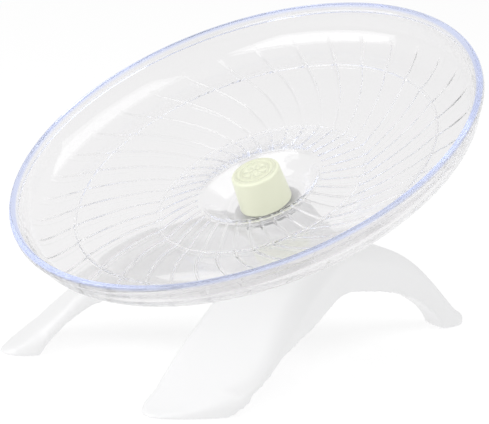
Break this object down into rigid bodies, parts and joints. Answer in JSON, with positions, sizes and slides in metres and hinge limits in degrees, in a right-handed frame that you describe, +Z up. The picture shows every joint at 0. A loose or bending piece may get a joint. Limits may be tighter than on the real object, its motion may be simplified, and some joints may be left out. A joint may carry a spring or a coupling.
{
  "type": "pet exercise saucer",
  "caption": "Clear tilted exercise saucer for a small pet, spinning on ball bearings over a white three-legged stand, with a pale green cap.",
  "frame": {"origin": "middle of the bounding box's bottom, on the floor the feet stand on", "axes": "+Z up, -Y toward the low side of the dish and the two front legs, +X to the right seen from there"},
  "size_m": [0.18, 0.19, 0.1229],
  "materials": {
    "stand_white": "satin white moulding",
    "dish_clear": "clear polished plastic, faintly blue at the rim",
    "keeper_clear": "clear polished plastic",
    "cap_green": "smooth satin, pale yellow-green",
    "bright_steel": "zinc plated",
    "bearing_steel": "ground steel",
    "ball_steel": "polished",
    "cage_brass": "pressed brass"
  },
  "bodies": {
    "base": {"stand": "stand_white", "axle_bolt": "bright_steel", "bolt_washer": "bright_steel", "clamp_nut": "bright_steel", "inner_race_lower": "bearing_steel", "inner_race_upper": "bearing_steel", "spacer_sleeve": "bright_steel", "top_washer": "bright_steel", "lock_nut": "bright_steel"},
    "saucer": {"saucer_dish": "dish_clear", "outer_race_lower": "bearing_steel", "outer_race_upper": "bearing_steel", "shields_lower": "bright_steel", "shields_upper": "bright_steel", "keeper_rings": "keeper_clear"},
    "balls_lower_set": {"cage_lower": "cage_brass", "balls_lower": "ball_steel"},
    "balls_upper_set": {"cage_upper": "cage_brass", "balls_upper": "ball_steel"},
    "cap": {"hub_cap": "cap_green"}
  },
  "joints": [
    {"name": "saucer_spin", "type": "hinge", "parent": "base", "child": "saucer", "pos_m": [0, -0.003, 0.0586], "axis": [0, -0.4524, 0.8918], "continuous": true},
    {"name": "lower_balls_spin", "type": "hinge", "parent": "base", "child": "balls_lower_set", "pos_m": [0, -0.003, 0.0586], "axis": [0, -0.4524, 0.8918], "continuous": true},
    {"name": "upper_balls_spin", "type": "hinge", "parent": "base", "child": "balls_upper_set", "pos_m": [0, -0.003, 0.0586], "axis": [0, -0.4524, 0.8918], "continuous": true},
    {"name": "cap_pull", "type": "slide", "parent": "saucer", "child": "cap", "axis": [0, -0.4524, 0.8918], "range_m": [0, 0.03]}
  ],
  "couplings": [
    {"joint": "lower_balls_spin", "follows": "saucer_spin", "ratio": 0.60889},
    {"joint": "upper_balls_spin", "follows": "saucer_spin", "ratio": 0.60889}
  ]
}
